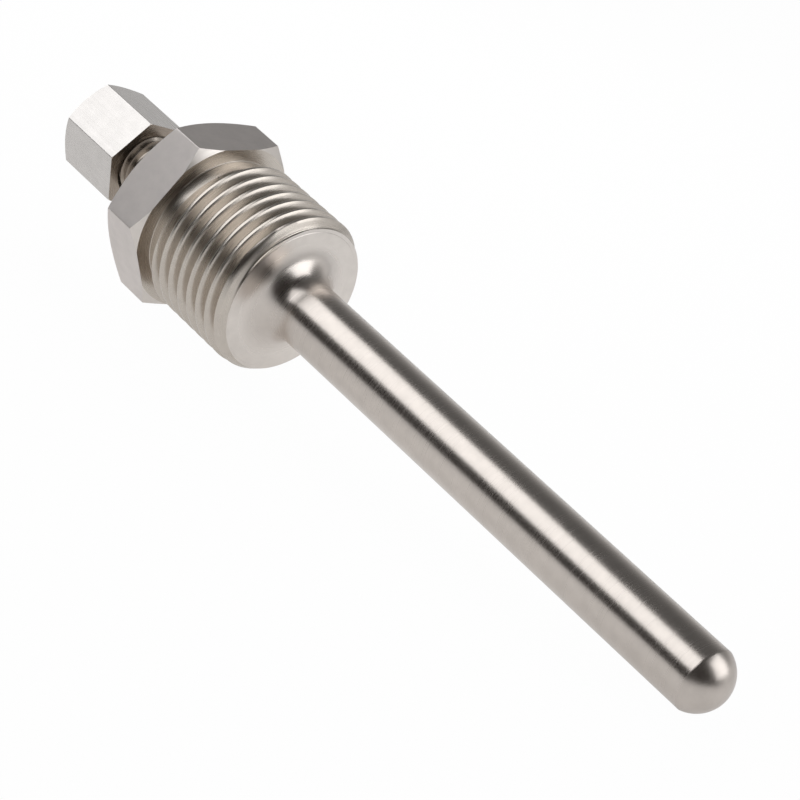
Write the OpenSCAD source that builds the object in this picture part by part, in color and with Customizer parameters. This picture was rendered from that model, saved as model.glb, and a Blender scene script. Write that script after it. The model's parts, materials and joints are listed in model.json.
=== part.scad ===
// Screw-in thermowell with a compression fitting for a slim temperature probe.
// The well is one turned bar: nipple, hexagon, pipe thread, stem and blind bore.
// A compression nut and its ferrule clamp the probe on the nipple end.
// Every piece is drawn about the well's own axis, with the sealing face of the
// hexagon at 0 and the tip up, and the part is then laid down as it rests.

/* [Stem] */
// Length from the sealing face of the hexagon to the tip
insertion_length = 90; // [50:1:200]
// Diameter of the stem
stem_d = 8; // [7:0.2:8.4]
// Radius of the domed tip, a little more than the stem's own
dome_r = 4.2; // [4.2:0.1:6]
// Radius of the fillet where the stem leaves the threaded body
root_fillet = 3.5; // [1:0.25:4]

/* [Probe bore] */
// Diameter of the probe that the well takes
probe_d = 3; // [2:0.1:3.2]
// Clearance of the bores around the probe, on the diameter
probe_clearance = 0.2; // [0.1:0.05:0.4]
// Metal left between the point of the bore and the tip
tip_wall = 3; // [2:0.5:8]
// Angle of the drill point at the end of the bore
drill_angle = 118; // [90:1:140]

/* [Hexagon] */
// Width across the flats
hex_af = 21.5; // [21.5:0.5:27]
// Thickness of the hexagon
hex_thickness = 6.5; // [5:0.5:10]
// Slope of the cones that take the corners off, from the end faces
corner_slope = 30; // [15:1:35]
// Width by which the round sealing face passes the flats, on the diameter
seal_land = 0.7; // [0:0.1:1.4]
// Width by which the round rear face stays inside the flats, on the diameter
rear_cut = 0.9; // [0:0.1:2]

/* [Pipe thread] */
// Major diameter of the parallel pipe thread
thread_d = 20.955; // [20.655:0.05:21.055]
// Number of threads to the inch
threads_per_inch = 14; // [12:1:16]
// Length from the sealing face to the end of the threaded body
thread_length = 15.8; // [12:0.2:20]
// Width of the relief groove next to the sealing face
relief_width = 2.3; // [1.5:0.1:3]
// Depth of the relief groove below the root of the thread
relief_step = 0.1; // [0.05:0.05:0.4]
// Length of the end chamfer along the thread
chamfer_length = 1.2; // [0.6:0.1:2]
// Width of the end chamfer, in from the crests
chamfer_width = 0.83; // [0.5:0.01:1.1]
// Turn of the thread about the axis
thread_turn = 210; // [0:5:355]

/* [Nipple] */
// Diameter over the nipple's fine thread, which is drawn as its outer cylinder
nipple_d = 8; // [7.6:0.1:8]
// Length of the nipple behind the hexagon
nipple_length = 12.5; // [9:0.5:18]
// Length of the undercut between the hexagon and the fine thread
undercut_length = 1.5; // [1:0.5:3]
// Diameter of the undercut, the root of the fine thread
undercut_d = 6.8; // [6.4:0.1:7.2]
// Chamfer on the end of the nipple
nipple_chamfer = 0.4; // [0.1:0.1:0.6]
// Half angle of the cone that the ferrule seats in
seat_angle = 30; // [25:1:35]
// Diameter of the seat's mouth
seat_mouth_d = 5.2; // [4.8:0.1:5.6]

/* [Compression nut] */
// Width across the flats
nut_af = 11; // [11:0.5:14]
// Length of nipple that the nut covers when it is finger tight
engagement = 5; // [4:0.5:6]
// Length of the hole behind the ferrule chamber
nut_wall = 1.8; // [1.2:0.2:2.6]
// Travel left inside the nut for tightening it beyond finger tight
tightening = 1; // [0.6:0.1:1.4]
// Radial clearance between the two fine threads
thread_clearance = 0.12; // [0.1:0.02:0.2]
// Width of the countersink around the nut's mouth
mouth_width = 0.23; // [0.1:0.05:0.4]
// Width by which the round rear face stays inside the flats, on the diameter
nut_rear_cut = 0.6; // [0:0.1:1]
// Edge broken off the front corners, on the diameter
nut_edge_cut = 0.3; // [0.1:0.1:0.6]
// Turn of the nut about the axis, against the hexagon
nut_turn = 47; // [0:1:59]

/* [Ferrule] */
// Outer diameter of the ferrule
ferrule_d = 6; // [5.8:0.1:6.2]
// Length of the cylinder between the ferrule's two cones
ferrule_land = 1.1; // [0.8:0.1:1.6]
// Half angle of the ferrule's rear cone, and of the one in the nut that presses on it
rear_angle = 45; // [40:1:50]
// Wall of the ferrule's nose, where it enters the seat
nose_wall = 0.35; // [0.25:0.05:0.5]
// Width of the ferrule's flat rear end
rear_width = 0.6; // [0.4:0.1:0.8]
// Gap between each of the ferrule's cones and its seat, before it is tightened
seat_gap = 0.03; // [0.02:0.01:0.06]
// Gap around the ferrule in its chamber
chamber_gap = 0.3; // [0.2:0.05:0.5]

/* [Hidden] */
$fn = 96;

inch = 25.4;
hex_sides = 6;
corner_angle = 180 / hex_sides;
// How far solids of one piece run into each other, and cutters past a face
overlap = 0.5;
well_colour = [0.72, 0.71, 0.69];
nut_colour = [0.80, 0.79, 0.77];
ferrule_colour = [0.62, 0.62, 0.61];

// Where the features of the well lie along its axis
hex_back = -hex_thickness;
nipple_end = hex_back - nipple_length;
bore_r = (probe_d + probe_clearance) / 2;
bore_tip = insertion_length - tip_wall;
bore_end = bore_tip - bore_r / tan(drill_angle / 2);
dome_centre = insertion_length - dome_r;
stem_end = dome_centre + sqrt(dome_r * dome_r - stem_d * stem_d / 4);

// The pipe thread is laid out on a grid with thread_steps to a pitch and as many
// columns to a turn, so each line of its profile meets both ends at a column
thread_steps = 48;
pitch = inch / threads_per_inch;
step = pitch / thread_steps;
groove_depth = 0.640327 * pitch;
rounding = 0.137329 * pitch;
flank_angle = 27.5;
relief_steps = round(relief_width / step);
body_steps = round(thread_length / step);
body_end = body_steps * step;
root_r = thread_d / 2 - groove_depth;
end_face_r = thread_d / 2 - chamfer_width;

// Lines of the profile within one pitch, in steps from the middle of its crest, which is
// turned flat at the full diameter, where the flanks leave a sixth of the pitch
crest_edge = thread_steps / 12;
flat_edge = 2;
round_edge = round(rounding * cos(flank_angle) / step);
root_at = thread_steps / 2;
profile_at = [
    -crest_edge, crest_edge,
    root_at - round_edge, root_at - flat_edge, root_at + flat_edge, root_at + round_edge
];
profile_lines = len(profile_at);
line_range = [-profile_lines : profile_lines * ceil(body_end / pitch + 1)];

// Ferrule and nut follow the nipple's seat, one from the other
hole_r = bore_r;
seat_r = seat_mouth_d / 2 - seat_gap / cos(seat_angle);
nose_r = bore_r + nose_wall;
rear_r = bore_r + rear_width;
nose_at = nipple_end + (seat_r - nose_r) / tan(seat_angle);
land_front = nipple_end - (ferrule_d / 2 - seat_r) / tan(seat_angle);
land_back = land_front - ferrule_land;
ferrule_back = land_back - (ferrule_d / 2 - rear_r) / tan(rear_angle);
nut_cone_at = land_back - (ferrule_d / 2 - hole_r) / tan(rear_angle) - seat_gap / sin(rear_angle);
chamber_r = ferrule_d / 2 + chamber_gap;
nut_front = nipple_end + engagement;
nut_back = nut_cone_at - nut_wall;
nut_bore_r = nipple_d / 2 + thread_clearance;

// The part lies on the last full crest under its axis and on the edge of its tip
turns_to_chamfer = (body_end - chamfer_length - crest_edge * step) / pitch;
crest_at = (floor(turns_to_chamfer + thread_turn / 360) - thread_turn / 360) * pitch;
rest_at = crest_at + crest_edge * step;
rest_tilt = atan2((thread_d - stem_d) / 2, stem_end - rest_at);
axis_height = stem_d / 2 * cos(rest_tilt) + stem_end * sin(rest_tilt);
nut_reach = nut_back * cos(rest_tilt) - (nut_af - nut_rear_cut) / 2 * sin(rest_tilt);
tip_reach = dome_centre * cos(rest_tilt) + dome_r;
axis_start = (nut_reach + tip_reach) / 2;

// Turns the axis of the well from up to along +X, with the tip down on the floor
module laid_down() {
    translate([-axis_start, 0, axis_height]) rotate([0, 90 + rest_tilt, 0]) children();
}

// Hexagonal bar between two heights with cones turned on its corners
module hex_bar(af, low, high, low_face_d, high_face_d) {
    corner_r = af / 2 / cos(corner_angle);
    low_cone = (corner_r - low_face_d / 2) * tan(corner_slope);
    high_cone = (corner_r - high_face_d / 2) * tan(corner_slope);
    blank_r = corner_r + overlap;
    spread = overlap * tan(corner_slope);
    intersection() {
        translate([0, 0, low]) rotate(corner_angle) cylinder(h = high - low, r = corner_r, $fn = hex_sides);
        rotate_extrude() polygon([
            [0, low], [low_face_d / 2, low], [blank_r, low + low_cone + spread],
            [blank_r, high - high_cone - spread], [high_face_d / 2, high], [0, high]
        ]);
    }
}

// How far line g of the thread lies from the sealing face at column j, in steps
function line_at(g, j) =
    let (turn = floor(g / profile_lines))
    turn * thread_steps + j + profile_at[g - turn * profile_lines];

// Radius of line g: the flat crest, or the rounded root
function threaded_r(g) =
    let (at = profile_at[g - floor(g / profile_lines) * profile_lines],
         aside = (at - root_at) * step)
    at <= crest_edge ? thread_d / 2 : root_r + rounding - sqrt(rounding * rounding - aside * aside);

// Radius left by the end chamfer at a height
function chamfered_r(z) = end_face_r + (body_end - z) * chamfer_width / chamfer_length;

// Radius at column j where a flat end cuts between line g and the next
function cut_r(g, j, steps) =
    let (share = (steps - line_at(g, j)) / (line_at(g + 1, j) - line_at(g, j)))
    min(chamfered_r(steps * step), threaded_r(g) * (1 - share) + threaded_r(g + 1) * share);

function thread_point(j, steps, r) =
    let (angle = 360 * j / thread_steps)
    [r * cos(angle), r * sin(angle), steps * step];

// Parallel pipe thread with flat crests and rounded roots, from the relief to the end
// face: one closed skin whose columns hold the profile lines between its two flat ends
module pipe_thread() {
    lines = [for (j = [0 : thread_steps - 1])
        [for (g = line_range) if (line_at(g, j) > relief_steps && line_at(g, j) < body_steps) g]];
    counts = [for (column = lines) len(column)];
    starts = [for (j = 0, at = 0; j < thread_steps; at = at + counts[j] + 2, j = j + 1) at];
    points = [for (j = [0 : thread_steps - 1]) each concat(
        [thread_point(j, relief_steps, cut_r(lines[j][0] - 1, j, relief_steps))],
        [for (g = lines[j])
            let (at = line_at(g, j)) thread_point(j, at, min(threaded_r(g), chamfered_r(at * step)))],
        [thread_point(j, body_steps, cut_r(lines[j][counts[j] - 1], j, body_steps))]
    )];
    // After the last column comes the first, where every line is one turn on
    function wraps(j) = j == thread_steps ? profile_lines : 0;
    function first(j) = lines[j % thread_steps][0] - wraps(j);
    function last(j) = first(j) + counts[j % thread_steps] - 1;
    function point(g, j) = starts[j % thread_steps] + g - first(j) + 1;
    faces = [for (j = [0 : thread_steps - 1]) each concat(
        [for (g = [first(j) - 1 : last(j + 1)]) each [
            [point(g, j), point(g + 1, j), point(g + 1, j + 1)],
            [point(g, j), point(g + 1, j + 1), point(g, j + 1)]
        ]],
        first(j + 1) < first(j) ?
            [[point(first(j) - 1, j), point(first(j + 1), j + 1), point(first(j + 1) - 1, j + 1)]] : [],
        last(j + 1) < last(j) ?
            [[point(last(j), j), point(last(j) + 1, j), point(last(j), j + 1)]] : []
    )];
    low_end = [for (j = [0 : thread_steps - 1]) starts[j]];
    high_end = [for (j = [thread_steps - 1 : -1 : 0]) starts[j] + counts[j] + 1];
    rotate(thread_turn) polyhedron(points, concat(faces, [low_end, high_end]), convexity = 10);
}

// Nipple for the compression nut: undercut, fine thread and chamfered end
module nipple() {
    r = nipple_d / 2;
    undercut_end = hex_back - undercut_length;
    rise = r - undercut_d / 2;
    rotate_extrude() polygon([
        [0, hex_back + overlap], [undercut_d / 2, hex_back + overlap], [undercut_d / 2, undercut_end],
        [r, undercut_end - rise], [r, nipple_end + nipple_chamfer],
        [r - nipple_chamfer, nipple_end], [0, nipple_end]
    ]);
}

// Stem with its root fillet, from inside the threaded body to the domed tip
module stem() {
    foot_r = stem_d / 2 + root_fillet;
    rotate_extrude() {
        translate([0, body_end - overlap]) square([foot_r, overlap]);
        translate([0, body_end]) square([stem_d / 2, stem_end - body_end]);
        difference() {
            translate([0, body_end]) square([foot_r, root_fillet]);
            translate([foot_r, body_end + root_fillet]) circle(root_fillet);
        }
        intersection() {
            translate([0, dome_centre]) circle(dome_r);
            translate([0, stem_end]) square([stem_d / 2, dome_r]);
        }
    }
}

// Space for the probe: seat for the ferrule, long bore and drill point
module probe_bore() {
    rotate_extrude() polygon([
        [0, nipple_end - overlap], [seat_mouth_d / 2 + overlap * tan(seat_angle), nipple_end - overlap],
        [bore_r, nipple_end + (seat_mouth_d / 2 - bore_r) / tan(seat_angle)],
        [bore_r, bore_end], [0, bore_tip]
    ]);
}

module well() {
    color(well_colour) laid_down() difference() {
        union() {
            hex_bar(hex_af, hex_back, 0, hex_af - rear_cut, hex_af + seal_land);
            translate([0, 0, -overlap])
                cylinder(h = relief_steps * step + 2 * overlap, r = root_r - relief_step);
            pipe_thread();
            nipple();
            stem();
        }
        probe_bore();
    }
}

module compression_nut() {
    corner_d = nut_af / cos(corner_angle);
    chamber_front = nipple_end - tightening;
    mouth_r = nut_bore_r + mouth_width;
    color(nut_colour) laid_down() rotate(nut_turn) difference() {
        hex_bar(nut_af, nut_back, nut_front, nut_af - nut_rear_cut, corner_d - nut_edge_cut);
        rotate_extrude() polygon([
            [0, nut_back - overlap], [hole_r, nut_back - overlap], [hole_r, nut_cone_at],
            [chamber_r, nut_cone_at + (chamber_r - hole_r) / tan(rear_angle)],
            [chamber_r, chamber_front],
            [nut_bore_r, chamber_front], [nut_bore_r, nut_front - mouth_width],
            [mouth_r, nut_front], [mouth_r, nut_front + overlap], [0, nut_front + overlap]
        ]);
    }
}

module ferrule() {
    color(ferrule_colour) laid_down() rotate_extrude() polygon([
        [bore_r, ferrule_back], [rear_r, ferrule_back], [ferrule_d / 2, land_back],
        [ferrule_d / 2, land_front], [nose_r, nose_at], [bore_r, nose_at]
    ]);
}

well();
compression_nut();
ferrule();
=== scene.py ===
import json
import math

import bmesh
import bpy
import numpy as np
from mathutils import Matrix, Vector


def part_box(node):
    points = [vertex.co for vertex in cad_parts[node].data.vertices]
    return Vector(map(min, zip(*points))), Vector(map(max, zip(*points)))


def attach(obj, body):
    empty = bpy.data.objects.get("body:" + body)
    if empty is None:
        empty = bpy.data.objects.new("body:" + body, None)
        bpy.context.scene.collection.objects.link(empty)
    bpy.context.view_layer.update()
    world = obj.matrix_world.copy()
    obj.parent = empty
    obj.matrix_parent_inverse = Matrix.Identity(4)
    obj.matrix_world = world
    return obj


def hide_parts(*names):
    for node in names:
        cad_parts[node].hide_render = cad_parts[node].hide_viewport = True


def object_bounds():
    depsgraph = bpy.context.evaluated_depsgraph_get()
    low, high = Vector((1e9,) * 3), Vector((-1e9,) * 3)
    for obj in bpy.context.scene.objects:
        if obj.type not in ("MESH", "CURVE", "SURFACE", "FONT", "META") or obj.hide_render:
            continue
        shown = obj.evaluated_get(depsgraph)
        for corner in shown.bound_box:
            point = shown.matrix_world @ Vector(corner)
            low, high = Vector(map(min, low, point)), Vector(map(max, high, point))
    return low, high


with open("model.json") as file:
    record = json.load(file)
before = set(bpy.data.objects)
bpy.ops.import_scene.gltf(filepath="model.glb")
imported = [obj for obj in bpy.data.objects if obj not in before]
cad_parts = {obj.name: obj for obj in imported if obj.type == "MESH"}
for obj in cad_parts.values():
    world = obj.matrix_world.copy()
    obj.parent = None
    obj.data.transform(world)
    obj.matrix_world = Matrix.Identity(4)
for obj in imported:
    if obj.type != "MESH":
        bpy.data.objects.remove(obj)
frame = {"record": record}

cad_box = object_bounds()
scene = bpy.context.scene

# ---------------------------------------------------------------- the well's own frame
# Sizes are in millimetres, with the sealing face of the hexagon at 0 and the tip up,
# as the part is turned on a lathe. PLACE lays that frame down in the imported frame.
MM = 0.001
mounts = {mount["name"]: mount for mount in frame["record"]["mounts"]}
stem_point = Vector(mounts["stem"]["pos_m"])
axis = Vector(mounts["stem"]["axis"]).normalized()
sealing_face = stem_point + axis * (Vector(mounts["sealing_face"]["pos_m"]) - stem_point).dot(axis)
side = Vector((0, 1, 0))
down = side.cross(axis)
PLACE = Matrix.Translation(sealing_face) @ Matrix((down, side, axis)).transposed().to_4x4()


def along(point):
    """Distance of a point from the sealing face, towards the tip."""
    return (Vector(point) - sealing_face).dot(axis) / MM


# What the record says of the stem, the bore and the threaded body
stem_r = mounts["stem"]["dims"]["r_mm"]
stem_middle = along(stem_point)
stem_half = mounts["stem"]["dims"]["length_mm"] / 2
stem_start = stem_middle - stem_half
stem_end = stem_middle + stem_half
bore_r = mounts["probe_bore"]["dims"]["r_mm"]
bore_middle = along(mounts["probe_bore"]["pos_m"])
bore_half = mounts["probe_bore"]["dims"]["length_mm"] / 2
bore_start = bore_middle - bore_half
bore_end = bore_middle + bore_half
body_end = 2 * along(mounts["process_thread"]["pos_m"])

# Sizes of the well that its node holds and the record doesn't name
DRILL_ANGLE = math.radians(118)
DOME_R = 4.2

# The hexagon, with the cones that take its corners off
HEX_THICKNESS = 6.5
HEX_CORNER_R = 0.12
CORNER_SLOPE = math.radians(30)
SEAL_R = 11.1
HEX_REAR_R = 10.3

# The pipe thread. It starts at the square wall of a relief that is deeper than its root by
# RELIEF_STEP, on one of the 48 steps that the solid has to a pitch.
THREAD_R = 20.955 / 2
PITCH = 25.4 / 14
THREAD_TURN = math.radians(210)
RELIEF_END = 61 / 48 * PITCH
RELIEF_STEP = 0.1
RELIEF_FILLET = 0.12
CHAMFER_LENGTH = 1.2
CHAMFER_WIDTH = 0.83

# The end face has a small broken edge, and the root's fillet runs out on it. REACH is in
# heights of the solid's fillet, and a POWER over 2 lets it end more softly than an arc.
RIM_R = 9.2
RIM_DROP = 0.04
FILLET_REACH = 1.1
FILLET_POWER = 2.25

# The nipple, with its undercut beside the hexagon and the seat of the ferrule in its mouth
NIPPLE_R = 4.0
NIPPLE_LENGTH = 12.5
UNDERCUT_LENGTH = 1.5
UNDERCUT_R = 3.4
NIPPLE_CHAMFER = 0.4
SEAT_MOUTH_R = 2.6
SEAT_ANGLE = math.radians(30)

# The fine thread, which the solids leave out
FINE_PITCH = 1.0
FINE_TURN = math.radians(320)
FINE_CREST_R = 3.96
FINE_CLEARANCE = 0.06

# The ferrule, which stands off both its seats by SEAT_GAP
FERRULE_R = 3.0
FERRULE_LAND = 1.1
FERRULE_NOSE_R = 1.95
FERRULE_REAR_R = 2.2
SEAT_GAP = 0.03

# The compression nut. ENGAGEMENT is how far it covers the nipple, and TIGHTENING how far it
# can still go on.
NUT_TURN = math.radians(47)
NUT_AF = 11.0
NUT_REAR_R = 5.2
NUT_FACE_R = 6.2
NUT_MOUTH_R = 4.35
NUT_CHAMBER_R = 3.3
NUT_WALL = 1.8
ENGAGEMENT = 5.0
TIGHTENING = 1.0

# What follows from them
hex_across = (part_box("well")[1].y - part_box("well")[0].y) / MM * math.cos(CORNER_SLOPE)
hex_back = -HEX_THICKNESS
undercut_end = hex_back - UNDERCUT_LENGTH
nipple_end = hex_back - NIPPLE_LENGTH
nut_front = nipple_end + ENGAGEMENT
chamber_front = nipple_end - TIGHTENING
seat_r = SEAT_MOUTH_R - SEAT_GAP / math.cos(SEAT_ANGLE)
land_front = nipple_end - (FERRULE_R - seat_r) / math.tan(SEAT_ANGLE)
land_back = land_front - FERRULE_LAND
nut_cone_end = land_back - (FERRULE_R - bore_r) - SEAT_GAP * math.sqrt(2)
nut_back = nut_cone_end - NUT_WALL


# ---------------------------------------------------------------- mesh tools
# Points closer than WELD metres become one
WELD = 1e-7
SHARP_ANGLE = math.radians(24)
OWN_PLACE = "own_place"


def even(count):
    """Angles once round the axis."""
    return np.arange(count) * 2 * math.pi / count


def ring(angles, r, z):
    """Points round the axis at a radius and a height, which may change with the angle."""
    angles, r, z = np.broadcast_arrays(angles, r, z)
    return np.column_stack([r * np.cos(angles), r * np.sin(angles), z])


def arc(centre_r, centre_z, radius, start, end, steps):
    """Points (r, z) of an arc, with its angles counted from the radial direction."""
    turn = np.linspace(math.radians(start), math.radians(end), steps + 1)
    return list(zip(centre_r + radius * np.cos(turn), centre_z + radius * np.sin(turn)))


def fillet(centre_r, centre_z, width, power, steps):
    """Points (r, z) of a fillet that bends less and less towards both of its ends."""
    turn = np.linspace(0, math.pi / 2, steps + 1)
    inward = np.sin(turn) ** (2 / power)
    down_to_face = np.cos(turn) ** (2 / power)
    return list(zip(centre_r - width * inward, centre_z - width * down_to_face))


class Skin:
    """A closed surface of rings about one axis. Rings that meet are welded at the end."""

    def __init__(self):
        self.points = []
        self.faces = []
        self.finishes = []

    def add(self, rings):
        """Keeps the points of some rings and returns their numbers, a row to a ring."""
        rings = np.asarray(rings)
        first = len(self.points)
        self.points.extend(rings.reshape(-1, 3))
        return first + np.arange(rings.shape[0] * rings.shape[1]).reshape(rings.shape[:2])

    def keep(self, faces, finish):
        """Keeps some faces, all of one finish."""
        self.faces.extend(faces)
        self.finishes.extend([finish] * len(faces))

    def band(self, rings, finish, closed=True):
        """Quads between each ring and the next."""
        numbers = self.add(rings)
        if closed:
            numbers = np.column_stack([numbers, numbers[:, 0]])
        corners = [numbers[:-1, :-1], numbers[:-1, 1:], numbers[1:, 1:], numbers[1:, :-1]]
        self.keep(np.stack(corners, axis=-1).reshape(-1, 4).tolist(), finish)

    def turned(self, profile, count, finish):
        """A surface turned from a profile of (r, z) points."""
        self.band([ring(even(count), r, z) for r, z in profile], finish)

    def annulus(self, start, end, finish):
        """Triangles across a flat face, from one ring to another with its own angles."""
        rings = []
        for points in (start, end):
            angles = np.arctan2(points[:, 1], points[:, 0])
            order = np.argsort(angles)
            rings.append((self.add(points[None, order])[0], angles[order]))
        (a, a_angles), (b, b_angles) = rings
        i = j = 0
        faces = []
        while i < len(a) or j < len(b):
            next_a = a_angles[i + 1] if i + 1 < len(a) else a_angles[0] + 2 * math.pi
            next_b = b_angles[j + 1] if j + 1 < len(b) else b_angles[0] + 2 * math.pi
            from_a, from_b = a[i % len(a)], b[j % len(b)]
            if j == len(b) or (i < len(a) and next_a <= next_b):
                faces.append([from_a, a[(i + 1) % len(a)], from_b])
                i += 1
            else:
                faces.append([from_a, b[(j + 1) % len(b)], from_b])
                j += 1
        self.keep(faces, finish)

    def piece(self, name, finishes):
        """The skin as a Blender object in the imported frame, with one material to a finish.
        The attribute OWN_PLACE keeps each point's place in the well's own frame."""
        mesh = bpy.data.meshes.new(name)
        mesh.from_pydata((np.array(self.points) * MM).tolist(), [], self.faces)
        names = list(finishes)
        mesh.polygons.foreach_set("material_index", [names.index(f) for f in self.finishes])
        for finish in names:
            mesh.materials.append(finishes[finish])
        welded = bmesh.new()
        welded.from_mesh(mesh)
        bmesh.ops.remove_doubles(welded, verts=welded.verts, dist=WELD)
        bmesh.ops.triangulate(welded, faces=welded.faces)
        welded.to_mesh(mesh)
        welded.free()
        own_place = np.zeros(len(mesh.vertices) * 3, np.float32)
        mesh.vertices.foreach_get("co", own_place)
        mesh.attributes.new(OWN_PLACE, "FLOAT_VECTOR", "POINT").data.foreach_set("vector", own_place)
        mesh.transform(PLACE)
        mesh.shade_smooth()
        mesh.set_sharp_from_angle(angle=SHARP_ANGLE)
        piece = bpy.data.objects.new(name, mesh)
        scene.collection.objects.link(piece)
        weights = piece.modifiers.new("face_weights", "WEIGHTED_NORMAL")
        weights.keep_sharp = True
        return piece


# ---------------------------------------------------------------- forms that repeat
def hex_angles(across, corner_r, faces, turn=0.0):
    """Angles round a hexagonal bar: even steps, the arcs of its corners, and the points
    where round faces of the given radii leave the flats."""
    corner_at = (across / 2 - corner_r) / math.cos(math.pi / 6)
    beta = np.radians([-30, -15, 0, 15, 30])
    corner = np.arctan2(corner_r * np.sin(beta), corner_at + corner_r * np.cos(beta))
    meets = [math.acos(across / 2 / r) for r in faces if r > across / 2]
    steps = np.radians(np.arange(-28.5, 28.6, 1.5))
    flat = np.concatenate([steps, meets, [-m for m in meets]])
    sector = np.sort(np.concatenate([flat, corner + math.pi / 6]))
    return (sector[None, :] + even(6)[:, None]).ravel() + turn


def hex_radius(angles, across, corner_r, turn=0.0):
    """Radius of a hexagonal bar with slightly rounded corners at each angle."""
    off_flat = (angles - turn + math.pi / 6) % (math.pi / 3) - math.pi / 6
    off_corner = math.pi / 6 - np.abs(off_flat)
    corner_at = (across / 2 - corner_r) / math.cos(math.pi / 6)
    reach = np.maximum(corner_r ** 2 - (corner_at * np.sin(off_corner)) ** 2, 0)
    tangent = math.atan2(corner_r / 2, corner_at + corner_r * math.cos(math.pi / 6))
    rounded = corner_at * np.cos(off_corner) + np.sqrt(reach)
    return np.where(off_corner < tangent, rounded, across / 2 / np.cos(off_flat))


def hex_sides(angles, r, low, high, low_face_r, high_face_r):
    """Rings of a hexagonal bar from its low face to its high face, with its corner cones."""
    slope = math.tan(CORNER_SLOPE)
    low_r = np.minimum(r, low_face_r)
    high_r = np.minimum(r, high_face_r)
    return [
        ring(angles, low_r, low),
        ring(angles, r, low + (r - low_r) * slope),
        ring(angles, r, high - (r - high_r) * slope),
        ring(angles, high_r, high),
    ]


def from_crest(angle, z, pitch):
    """Distance along the axis from the crest line nearest below, in pitches from -1/8."""
    return (z / pitch - angle / (2 * math.pi) + 0.125) % 1 - 0.125


def helical(low, high, pitch, turn, lines, count, radius_at):
    """Rings that climb one pitch a turn and end at two flat ends: each is an open line,
    whose last point is the first of the ring one pitch further on."""
    angle = np.linspace(0, 2 * math.pi, count + 1)
    rings = []
    for start in range(math.floor(low / pitch) - 2, math.ceil(high / pitch) + 2):
        for line in lines:
            z = np.clip(pitch * (start + line + angle / (2 * math.pi)), low, high)
            rings.append(ring(angle + turn, radius_at(angle, z), z))
    return rings


def end_ring(z, turn, count, radius_at):
    """The ring in which a thread meets a flat end."""
    return ring(even(count) + turn, radius_at(even(count), z), z)


# ---------------------------------------------------------------- the pipe thread
# Its profile from the middle of a crest to the middle of a root: a flat crest with its
# edges just broken, a straight flank and a rounded root
FLANK_NORMAL = math.radians(62.5)
THREAD_DEPTH = 0.640327 * PITCH
ROUNDING = 0.137329 * PITCH
CREST_HALF = 0.17
CREST_EDGE = 0.03
PIPE_COLUMNS = 288
pipe_root_r = THREAD_R - THREAD_DEPTH
end_face_r = THREAD_R - CHAMFER_WIDTH

edge_turns = np.linspace(0, FLANK_NORMAL, 3)
root_turns = np.linspace(FLANK_NORMAL, 0, 5)
edge_start = CREST_HALF - CREST_EDGE * math.tan(FLANK_NORMAL / 2)
edge_offs = edge_start + CREST_EDGE * np.sin(edge_turns)
edge_depths = CREST_EDGE * (1 - np.cos(edge_turns))
root_offs = PITCH / 2 - ROUNDING * np.sin(root_turns)
root_depths = THREAD_DEPTH - ROUNDING * (1 - np.cos(root_turns))
pipe_offs = np.concatenate([[0], edge_offs, root_offs]) / PITCH
pipe_depths = np.concatenate([[0], edge_depths, root_depths])
flank_offs = np.linspace(pipe_offs[3], pipe_offs[4], 4)
half_lines = np.concatenate([pipe_offs[1:4], flank_offs[1:3], pipe_offs[4:]])
pipe_lines = np.concatenate([half_lines, 1 - half_lines[-2::-1]])


def pipe_radius(angle, z):
    """Radius of the threaded body, with the cone that takes the crests off at its end."""
    off = from_crest(angle, z, PITCH)
    depth = np.interp(np.minimum(np.abs(off), 1 - off), pipe_offs, pipe_depths)
    lead_out = end_face_r + (body_end - z) * CHAMFER_WIDTH / CHAMFER_LENGTH
    return np.minimum(THREAD_R - depth, lead_out)


# ---------------------------------------------------------------- the fine thread
# Its lines and its profile, in pitches from the middle of a crest, with depths in millimetres
FINE_COLUMNS = 128
FINE_LINES = [-0.0625, 0.0625, 0.22, 0.375, 0.44, 0.5, 0.56, 0.625, 0.78]
FINE_OFFS = [0, 0.0625, 0.375, 0.44, 0.5]
FINE_DEPTHS = [0, 0, 0.541, 0.598, 0.613]


def nipple_radius(angle, z):
    """Radius of the nipple's thread, no deeper than its undercut, with both its chamfers."""
    off = from_crest(angle, z, FINE_PITCH)
    depth = np.interp(np.minimum(np.abs(off), 1 - off), FINE_OFFS, FINE_DEPTHS)
    threaded = np.maximum(FINE_CREST_R - depth, UNDERCUT_R)
    chamfers = np.minimum(
        NIPPLE_R - NIPPLE_CHAMFER + z - nipple_end,
        UNDERCUT_R + undercut_end - z,
    )
    return np.minimum(threaded, chamfers)


def nut_radius(angle, z):
    """Radius of the thread inside the nut, which clears the nipple's all round."""
    off = from_crest(angle, z, FINE_PITCH)
    depth = np.interp(np.minimum(np.abs(off), 1 - off), FINE_OFFS[:3], FINE_DEPTHS[:3])
    mouth = NUT_MOUTH_R - (nut_front - z)
    return np.maximum(FINE_CREST_R - depth + FINE_CLEARANCE, mouth)


# ---------------------------------------------------------------- the pieces
BORE_COLUMNS = 72
STEM_COLUMNS = 144
FILLET_STEPS = 28
DOME_STEPS = 18


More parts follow.
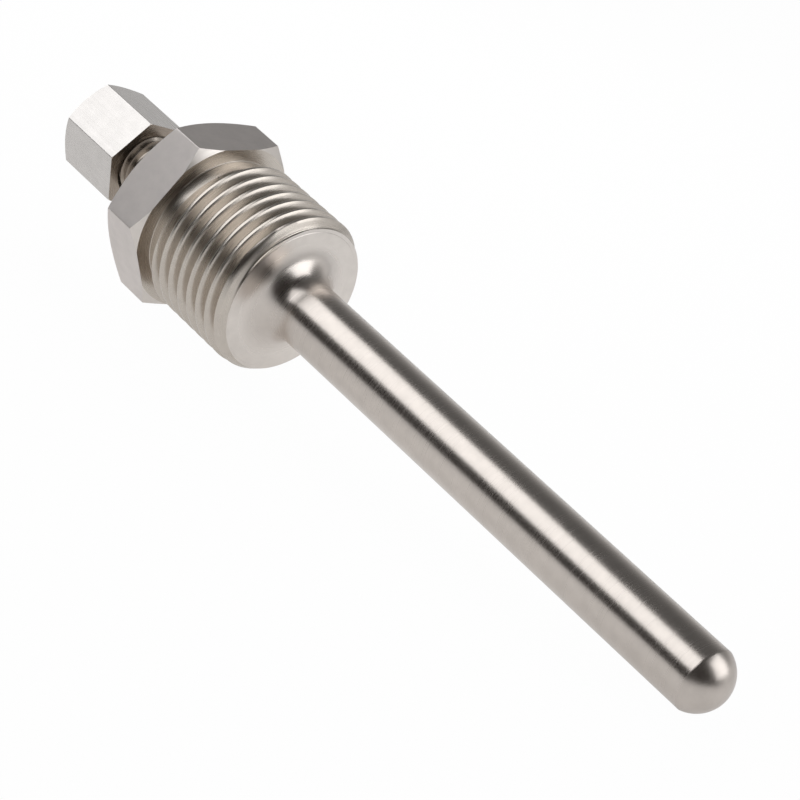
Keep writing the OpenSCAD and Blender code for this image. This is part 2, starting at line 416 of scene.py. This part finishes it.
def well_skin():
    """The well: one closed skin from the point of its bore round to its tip."""
    skin = Skin()

    # The bore, the nipple and its thread
    bore_tip = bore_end + bore_r / math.tan(DRILL_ANGLE / 2)
    bore = [(0, bore_tip), (bore_r, bore_end), (bore_r, bore_start), (SEAT_MOUTH_R, nipple_end)]
    skin.turned(bore, BORE_COLUMNS, "bored")
    mouth = ring(even(BORE_COLUMNS), SEAT_MOUTH_R, nipple_end)
    nipple_face = end_ring(nipple_end, FINE_TURN, FINE_COLUMNS, nipple_radius)
    skin.annulus(mouth, nipple_face, "faced")
    # The nipple's thread and undercut take the darker steel: painted shade from the hexagon and the nut
    skin.band(
        helical(nipple_end, undercut_end, FINE_PITCH, FINE_TURN, FINE_LINES, FINE_COLUMNS, nipple_radius),
        "painted_shade", closed=False,
    )
    undercut_ring = end_ring(undercut_end, FINE_TURN, FINE_COLUMNS, nipple_radius)
    hex_root = undercut_ring + [0, 0, UNDERCUT_LENGTH]
    skin.band([undercut_ring, hex_root], "painted_shade")

    # The hexagon
    angles = hex_angles(hex_across, HEX_CORNER_R, [SEAL_R])
    r = hex_radius(angles, hex_across, HEX_CORNER_R)
    sides = hex_sides(angles, r, hex_back, 0, HEX_REAR_R, SEAL_R)
    skin.annulus(hex_root, sides[0], "faced")
    skin.band(sides[0:2], "faced")
    skin.band(sides[1:3], "milled")
    skin.band(sides[2:4], "faced")

    # The relief and the pipe thread
    columns = even(PIPE_COLUMNS) + THREAD_TURN
    relief_r = pipe_root_r - RELIEF_STEP
    corner = arc(relief_r + RELIEF_FILLET, RELIEF_FILLET, RELIEF_FILLET, 270, 180, 5)
    relief = [ring(columns, r, z) for r, z in corner + [(relief_r, RELIEF_END)]]
    skin.annulus(sides[3], relief[0], "turned")
    skin.band(relief, "turned")
    skin.annulus(relief[-1], end_ring(RELIEF_END, THREAD_TURN, PIPE_COLUMNS, pipe_radius), "turned")
    rim_z = body_end - RIM_DROP
    skin.band(
        helical(RELIEF_END, rim_z, PITCH, THREAD_TURN, pipe_lines, PIPE_COLUMNS, pipe_radius),
        "turned", closed=False,
    )

    # The end face, the root, the stem and its dome
    rim = ring(columns, RIM_R, body_end)
    rim_foot = ring(columns, RIM_R + RIM_DROP, rim_z)
    skin.annulus(end_ring(rim_z, THREAD_TURN, PIPE_COLUMNS, pipe_radius), rim_foot, "faced")
    skin.band([rim_foot, rim], "faced")

    width = FILLET_REACH * (stem_start - body_end)
    root = fillet(stem_r + width, body_end + width, width, FILLET_POWER, FILLET_STEPS)
    foot = ring(even(STEM_COLUMNS), stem_r + width, body_end)
    skin.annulus(rim, foot, "faced")
    skin.turned(root, STEM_COLUMNS, "root")
    skin.turned([root[-1], (stem_r, stem_end)], STEM_COLUMNS, "ground")
    crease = math.acos(stem_r / DOME_R)
    dome_centre = stem_end - DOME_R * math.sin(crease)
    skin.turned(arc(0, dome_centre, DOME_R, math.degrees(crease), 90, DOME_STEPS), STEM_COLUMNS, "domed")
    return skin


def nut_skin():
    """The compression nut, with its thread cut to run on the nipple's."""
    skin = Skin()
    angles = hex_angles(NUT_AF, HEX_CORNER_R, [NUT_FACE_R], NUT_TURN)
    r = hex_radius(angles, NUT_AF, HEX_CORNER_R, NUT_TURN)
    sides = hex_sides(angles, r, nut_back, nut_front, NUT_REAR_R, NUT_FACE_R)
    skin.band(sides[0:2], "faced")
    skin.band(sides[1:3], "drawn")
    skin.band(sides[2:4], "faced")

    # The nut's front face and its thread take the darker steel: painted shade deep in the fitting
    mouth = end_ring(nut_front, FINE_TURN, FINE_COLUMNS, nut_radius)
    skin.annulus(sides[3], mouth, "painted_shade")
    thread = helical(
        chamber_front, nut_front, FINE_PITCH, FINE_TURN, FINE_LINES, FINE_COLUMNS, nut_radius
    )
    skin.band(thread[::-1], "painted_shade", closed=False)
    inner = end_ring(chamber_front, FINE_TURN, FINE_COLUMNS, nut_radius)
    chamber = ring(even(BORE_COLUMNS), NUT_CHAMBER_R, chamber_front)
    skin.annulus(inner, chamber, "bored")
    bore = [
        (NUT_CHAMBER_R, chamber_front),
        (NUT_CHAMBER_R, nut_cone_end + NUT_CHAMBER_R - bore_r),
        (bore_r, nut_cone_end),
        (bore_r, nut_back),
    ]
    skin.turned(bore, BORE_COLUMNS, "bored")
    skin.annulus(ring(even(BORE_COLUMNS), bore_r, nut_back), sides[0], "faced")
    return skin


def ferrule_skin():
    """The ferrule before its first tightening, just off its seat in the nipple."""
    skin = Skin()
    nose = nipple_end + (seat_r - FERRULE_NOSE_R) / math.tan(SEAT_ANGLE)
    back = land_back - (FERRULE_R - FERRULE_REAR_R)
    skin.turned([
        (bore_r, back), (FERRULE_REAR_R, back), (FERRULE_R, land_back), (FERRULE_R, land_front),
        (FERRULE_NOSE_R, nose), (bore_r, nose), (bore_r, back),
    ], BORE_COLUMNS, "turned")
    return skin


# ---------------------------------------------------------------- finishes
class Nodes:
    """A short way to add nodes to a material or a world and to join them up."""

    def __init__(self, tree):
        self.tree = tree
        tree.nodes.clear()

    def add(self, kind, inputs=(), **settings):
        """A new node. An input is joined to a socket, or set to a value."""
        node = self.tree.nodes.new(kind)
        for name, value in settings.items():
            setattr(node, name, value)
        for name, value in dict(inputs).items():
            if isinstance(value, bpy.types.NodeSocket):
                self.tree.links.new(value, node.inputs[name])
            else:
                node.inputs[name].default_value = value
        return node


# Lengths in these textures are in metres of the well's own frame, scales in steps to a metre
CLOUD_SCALE = 700.0
CLOUD_RANGE = (0.35, 0.65)
CLOUD_TINT = 0.03
GRAIN_SCALE = 6000.0

# Pits: one place to a cell, of which some have a pit; its edge is in shares of a cell
PIT_CELLS = 500.0
PIT_EDGE = (0.035, 0.055)
PIT_COLOUR = (0.02, 0.018, 0.016, 1)

# How a tool's lines run, and how fast they change: with the radius and the height and
# hardly round the axis, or across the axis and hardly along it
ROUND_THE_AXIS = "round"
ALONG_THE_AXIS = "along"
TURNED_LINES = 9000.0
TURNED_DRIFT = 120.0
DRAWN_LINES = (5000.0, 5000.0, 90.0)
LINE_RANGE = (0.3, 0.7)
SHINE_SPREAD = 0.03
MICROMETRE = 1e-6

# Radii between which the root's colour goes from the stem's to the end face's
FOOT_FADE = (4.2 * MM, 7.6 * MM)


def clouded(nodes, place, colour):
    """The colour, with faint soft clouds of darker and lighter steel."""
    clouds = nodes.add("ShaderNodeTexNoise", {"Vector": place, "Scale": CLOUD_SCALE, "Detail": 6.0})
    cloudy = nodes.add("ShaderNodeMapRange", {
        "Value": clouds.outputs["Fac"], "From Min": CLOUD_RANGE[0], "From Max": CLOUD_RANGE[1],
    })
    tint = nodes.add("ShaderNodeMix", {"Factor": cloudy.outputs["Result"]}, data_type="RGBA")
    tint.inputs["A"].default_value = (*[c * (1 - CLOUD_TINT) for c in colour], 1)
    tint.inputs["B"].default_value = (*[min(1, c * (1 + CLOUD_TINT)) for c in colour], 1)
    return tint.outputs["Result"]


def faded(nodes, radius, shade, foot):
    """The shade near the stem, and the colour foot further out."""
    outward = nodes.add("ShaderNodeMapRange", {
        "Value": radius, "From Min": FOOT_FADE[0], "From Max": FOOT_FADE[1],
    })
    mixed = nodes.add("ShaderNodeMix", {"Factor": outward.outputs["Result"]}, data_type="RGBA")
    nodes.tree.links.new(shade, mixed.inputs["A"])
    mixed.inputs["B"].default_value = (*foot, 1)
    return mixed.outputs["Result"]


def pitted(nodes, place, shade, share):
    """The shade, with a small black pit at a share of the places."""
    cells = nodes.add("ShaderNodeTexVoronoi", {"Vector": place, "Scale": PIT_CELLS})
    rare = nodes.add("ShaderNodeSeparateColor", {"Color": cells.outputs["Color"]})
    chosen = nodes.add("ShaderNodeMath", {
        0: rare.outputs["Red"], 1: 1.0 - share,
    }, operation="GREATER_THAN")
    near = nodes.add("ShaderNodeMapRange", {
        "Value": cells.outputs["Distance"], "From Min": PIT_EDGE[0], "From Max": PIT_EDGE[1],
        "To Min": 1.0, "To Max": 0.0,
    })
    pit = nodes.add("ShaderNodeMath", {
        0: chosen.outputs[0], 1: near.outputs["Result"],
    }, operation="MULTIPLY")
    mixed = nodes.add("ShaderNodeMix", {"Factor": pit.outputs[0]}, data_type="RGBA")
    nodes.tree.links.new(shade, mixed.inputs["A"])
    mixed.inputs["B"].default_value = PIT_COLOUR
    return mixed.outputs["Result"]


def tool_lines(nodes, place, across, radius, run):
    """Heights of the fine lines that the tool left."""
    if run == ROUND_THE_AXIS:
        drift = nodes.add("ShaderNodeVectorMath", {0: across, "Scale": TURNED_DRIFT}, operation="SCALE")
        height = nodes.add("ShaderNodeSeparateXYZ", {0: place}).outputs["Z"]
        path = nodes.add("ShaderNodeMath", {0: radius, 1: height}, operation="ADD")
        steps = nodes.add("ShaderNodeMath", {0: path.outputs[0], 1: TURNED_LINES}, operation="MULTIPLY")
        along_path = nodes.add("ShaderNodeCombineXYZ", {"Z": steps.outputs[0]})
        stretched = nodes.add("ShaderNodeVectorMath", {
            0: drift.outputs[0], 1: along_path.outputs[0],
        }, operation="ADD")
    else:
        stretched = nodes.add("ShaderNodeVectorMath", {0: place, 1: DRAWN_LINES}, operation="MULTIPLY")
    lines = nodes.add("ShaderNodeTexNoise", {"Vector": stretched.outputs[0], "Scale": 1.0, "Detail": 3.0})
    return lines.outputs["Fac"]


def steel(name, colour, roughness, grain, marks, run, pits=0.0, foot=None):
    """Stainless steel. grain and marks are depths in micrometres: of the fine grain all
    over, and of the tool's lines. pits is the share of places that have a small black pit.
    foot is the colour that the steel fades to, away from the stem."""
    material = bpy.data.materials.new(name)
    material.use_nodes = True
    nodes = Nodes(material.node_tree)
    place = nodes.add("ShaderNodeAttribute", attribute_name=OWN_PLACE).outputs["Vector"]
    across = nodes.add("ShaderNodeVectorMath", {
        0: place, 1: (1.0, 1.0, 0.0),
    }, operation="MULTIPLY").outputs[0]
    radius = nodes.add("ShaderNodeVectorMath", {0: across}, operation="LENGTH").outputs["Value"]

    shade = clouded(nodes, place, colour)
    if foot:
        shade = faded(nodes, radius, shade, foot)
    shade = pitted(nodes, place, shade, pits)

    lines = tool_lines(nodes, place, across, radius, run)
    fine = nodes.add("ShaderNodeTexNoise", {"Vector": place, "Scale": GRAIN_SCALE, "Detail": 2.0})
    shine = nodes.add("ShaderNodeMapRange", {
        "Value": lines, "From Min": LINE_RANGE[0], "From Max": LINE_RANGE[1],
        "To Min": roughness - SHINE_SPREAD, "To Max": roughness + SHINE_SPREAD,
    })
    lined = nodes.add("ShaderNodeBump", {
        "Height": lines, "Strength": 1.0, "Distance": marks * MICROMETRE,
    })
    grained = nodes.add("ShaderNodeBump", {
        "Height": fine.outputs["Fac"], "Strength": 1.0, "Distance": grain * MICROMETRE,
        "Normal": lined.outputs["Normal"],
    })
    shader = nodes.add("ShaderNodeBsdfPrincipled", {
        "Base Color": shade,
        "Metallic": 1.0,
        "Roughness": shine.outputs["Result"],
        "Normal": grained.outputs["Normal"],
    })
    nodes.add("ShaderNodeOutputMaterial", {"Surface": shader.outputs["BSDF"]})
    return material


STEM_STEEL = (0.61, 0.555, 0.51)
THREAD_STEEL = (0.61, 0.557, 0.50)
FACE_STEEL = (0.74, 0.69, 0.645)
HEX_STEEL = (0.74, 0.69, 0.66)
NUT_STEEL = (0.64, 0.61, 0.585)
# The fine thread and the steel beside it, deep in the fitting between the hexagon and the nut, get a
# darker colour: painted shade where those parts shade them
PAINTED_SHADE_STEEL = (0.42, 0.375, 0.33)

# Each with its roughness, the depths of its grain and its tool's lines, and how they run
finishes = {
    "ground": steel("ground_steel", STEM_STEEL, 0.25, 3.0, 0.06, ROUND_THE_AXIS),
    "domed": steel("domed_steel", STEM_STEEL, 0.32, 3.0, 0.3, ROUND_THE_AXIS),
    "root": steel("root_steel", STEM_STEEL, 0.29, 3.0, 0.3, ROUND_THE_AXIS, 0.1, foot=FACE_STEEL),
    "turned": steel("turned_steel", THREAD_STEEL, 0.28, 2.0, 0.5, ROUND_THE_AXIS, 0.3),
    "faced": steel("faced_steel", FACE_STEEL, 0.32, 3.0, 0.8, ROUND_THE_AXIS, 0.2),
    "milled": steel("milled_steel", HEX_STEEL, 0.45, 3.0, 2.5, ROUND_THE_AXIS, 0.2),
    "drawn": steel("drawn_steel", NUT_STEEL, 0.27, 2.0, 3.0, ALONG_THE_AXIS),
    # Darker colour for the fine thread and the steel beside it: painted shade
    "painted_shade": steel("painted_shade_steel", PAINTED_SHADE_STEEL, 0.26, 2.0, 0.5, ROUND_THE_AXIS),
    "bored": steel("bored_steel", STEM_STEEL, 0.40, 2.0, 2.0, ROUND_THE_AXIS),
}


# ---------------------------------------------------------------- the studio
def from_object(azimuth, elevation):
    """Direction from the object; azimuth 0 is -Y, and 90 is +X."""
    a, e = math.radians(azimuth), math.radians(elevation)
    return Vector((math.sin(a) * math.cos(e), -math.cos(a) * math.cos(e), math.sin(e)))


low, high = cad_box
centre = (low + high) / 2

# The camera: where it stands from the object, and the point beside its centre that it aims at
VIEW_AZIMUTH = 40.04
VIEW_ELEVATION = 23.72
VIEW_ROLL = math.radians(18.79)
VIEW_DISTANCE = 0.31419
LENS = 125.57
SENSOR_WIDTH = 36
NEAREST = 0.01
AIM_OFF_CENTRE = Vector((0.003069, 0.000626, -0.003402))


def make_camera():
    """The camera at the photo's angle, with the object tilted in the frame as it is there."""
    camera = bpy.data.objects.new("camera", bpy.data.cameras.new("camera"))
    scene.collection.objects.link(camera)
    camera.data.lens = LENS
    camera.data.sensor_width = SENSOR_WIDTH
    camera.data.clip_start = NEAREST
    back = from_object(VIEW_AZIMUTH, VIEW_ELEVATION)
    level = (-back).to_track_quat("-Z", "Y").to_matrix().to_4x4()
    roll = Matrix.Rotation(VIEW_ROLL, 4, "Z")
    camera.matrix_world = Matrix.Translation(centre + AIM_OFF_CENTRE + back * VIEW_DISTANCE) @ level @ roll
    scene.camera = camera


SOFT_BOX_COLOUR = (0.96, 0.98, 1.0)


def panel(name, azimuth, elevation, distance, width, height, radiance):
    """A soft box that faces the object. Its brightness is that of its surface."""
    light = bpy.data.lights.new(name, "AREA")
    light.shape = "RECTANGLE"
    light.size = width
    light.size_y = height
    light.energy = radiance * math.pi * width * height
    light.color = SOFT_BOX_COLOUR
    lamp = bpy.data.objects.new(name, light)
    scene.collection.objects.link(lamp)
    towards = from_object(azimuth, elevation)
    lamp.location = centre + towards * distance
    lamp.rotation_mode = "QUATERNION"
    lamp.rotation_quaternion = (-towards).to_track_quat("-Z", "Y")
    lamp.visible_camera = False
    return lamp


FLOOR_HALF = 3.0
FLOOR_COLOUR = (0.85, 0.85, 0.85, 1)
# Share of the floor that the camera sees as plain white; the rest keeps the shadow
FLOOR_WHITE = 0.98
# Share that reflections see as plain white: a painted pool of light, strong near the object and weaker at
# some distance from it.
# The distance in metres is counted half along the object, as it is long and narrow.
PAINTED_FLOOR_LIGHT = (0.62, 0.10)
PAINTED_LIGHT_DISTANCE = (0.015, 0.09)
PAINTED_LIGHT_OVAL = (0.5, 1.0, 0.0)
WHITE = (1, 1, 1, 1)


def make_floor():
    """A pale floor. The camera sees it almost white, with the object's shadow, and the
    steel sees a painted pool of light on it, bright close by and darker further away."""
    mesh = bpy.data.meshes.new("floor")
    corners = [(x * FLOOR_HALF, y * FLOOR_HALF, low.z) for x, y in ((-1, -1), (1, -1), (1, 1), (-1, 1))]
    mesh.from_pydata(corners, [], [(0, 1, 2, 3)])
    floor = bpy.data.objects.new("floor", mesh)
    scene.collection.objects.link(floor)
    material = bpy.data.materials.new("white_floor")
    material.use_nodes = True
    nodes = Nodes(material.node_tree)
    rays = nodes.add("ShaderNodeLightPath")
    seen = nodes.add("ShaderNodeMath", {
        0: rays.outputs["Is Camera Ray"], 1: FLOOR_WHITE,
    }, operation="MULTIPLY")
    place = nodes.add("ShaderNodeTexCoord").outputs["Object"]
    oval = nodes.add("ShaderNodeVectorMath", {0: place, 1: PAINTED_LIGHT_OVAL}, operation="MULTIPLY")
    away = nodes.add("ShaderNodeVectorMath", {0: oval.outputs[0]}, operation="LENGTH")
    # Painted pool of light: reflections see the floor brighter near the object and darker away from it
    painted_light = nodes.add("ShaderNodeMapRange", {
        "Value": away.outputs["Value"], "From Min": PAINTED_LIGHT_DISTANCE[0], "From Max": PAINTED_LIGHT_DISTANCE[1],
        "To Min": PAINTED_FLOOR_LIGHT[0], "To Max": PAINTED_FLOOR_LIGHT[1],
    })
    shown = nodes.add("ShaderNodeMath", {
        0: rays.outputs["Is Glossy Ray"], 1: painted_light.outputs["Result"], 2: seen.outputs[0],
    }, operation="MULTIPLY_ADD")
    matt = nodes.add("ShaderNodeBsdfDiffuse", {"Color": FLOOR_COLOUR})
    white = nodes.add("ShaderNodeEmission", {"Color": WHITE, "Strength": 1.0})
    mixed = nodes.add("ShaderNodeMixShader", {
        0: shown.outputs[0], 1: matt.outputs[0], 2: white.outputs[0],
    })
    nodes.add("ShaderNodeOutputMaterial", {"Surface": mixed.outputs[0]})
    mesh.materials.append(material)


# The lit backdrop: where it stands, its brightness at each elevation in degrees, and how
# softly it ends at its sides, as a cosine
BACKDROP_AZIMUTH = 206
BACKDROP = [
    (-90, 1.0), (-8, 1.0), (2, 0.78), (11, 0.56), (20, 0.37), (30, 0.25), (45, 0.14), (90, 0.10),
]
BACKDROP_EDGE = 0.4
ROOM = (0.022, 0.018, 0.016)


def make_world():
    """A dim room with a lit backdrop behind the object, which fades upwards."""
    world = bpy.data.worlds.new("studio")
    scene.world = world
    world.use_nodes = True
    nodes = Nodes(world.node_tree)
    towards = nodes.add("ShaderNodeTexCoord").outputs["Generated"]
    height = nodes.add("ShaderNodeSeparateXYZ", {0: towards}).outputs["Z"]
    level = nodes.add("ShaderNodeMapRange", {"Value": height, "From Min": -1.0, "From Max": 1.0})
    fade = nodes.add("ShaderNodeValToRGB", {"Fac": level.outputs["Result"]})
    stops = fade.color_ramp.elements
    while len(stops) < len(BACKDROP):
        stops.new(0.5)
    for stop, (elevation, value) in zip(stops, BACKDROP):
        stop.position = (1 + math.sin(math.radians(elevation))) / 2
        stop.color = (value, value, value, 1)
    behind = nodes.add("ShaderNodeVectorMath", {
        0: towards, 1: from_object(BACKDROP_AZIMUTH, 0),
    }, operation="DOT_PRODUCT")
    lit = nodes.add("ShaderNodeMapRange", {
        "Value": behind.outputs["Value"], "From Min": -BACKDROP_EDGE, "From Max": BACKDROP_EDGE,
    }, interpolation_type="SMOOTHSTEP")
    mixed = nodes.add("ShaderNodeMix", {"Factor": lit.outputs["Result"]}, data_type="RGBA")
    mixed.inputs["A"].default_value = (*ROOM, 1)
    nodes.tree.links.new(fade.outputs["Color"], mixed.inputs["B"])
    rays = nodes.add("ShaderNodeLightPath")
    room = nodes.add("ShaderNodeBackground", {"Color": mixed.outputs["Result"], "Strength": 1.0})
    white = nodes.add("ShaderNodeBackground", {"Color": WHITE, "Strength": 1.0})
    shown = nodes.add("ShaderNodeMixShader", {
        0: rays.outputs["Is Camera Ray"], 1: room.outputs[0], 2: white.outputs[0],
    })
    nodes.add("ShaderNodeOutputWorld", {"Surface": shown.outputs[0]})


# ---------------------------------------------------------------- everything together
def dress(skin, name, body, node):
    """Makes a skin's piece, which stands for a node and moves with its body."""
    used = [finish for finish in finishes if finish in set(skin.finishes)]
    piece = skin.piece(name, {finish: finishes[finish] for finish in used})
    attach(piece, body)
    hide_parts(node)
    return piece


dress(well_skin(), "well_skin", "well", "well")
dress(nut_skin(), "compression_nut_skin", "compression_nut", "compression_nut")
dress(ferrule_skin(), "ferrule_skin", "ferrule", "ferrule")

make_camera()
panel(
    "left_soft_box", azimuth=-45, elevation=49, distance=0.42,
    width=0.52, height=0.305, radiance=1.62,
)
panel(
    "right_soft_box", azimuth=120, elevation=37, distance=0.60,
    width=0.47, height=0.52, radiance=1.78,
)
# This one lights the floor alone: the steel doesn't reflect it
floor_wash = panel(
    "floor_wash", azimuth=-135, elevation=35, distance=0.20,
    width=0.12, height=0.12, radiance=3.4,
)
floor_wash.visible_glossy = False
make_floor()
make_world()
scene.view_settings.view_transform = "Standard"
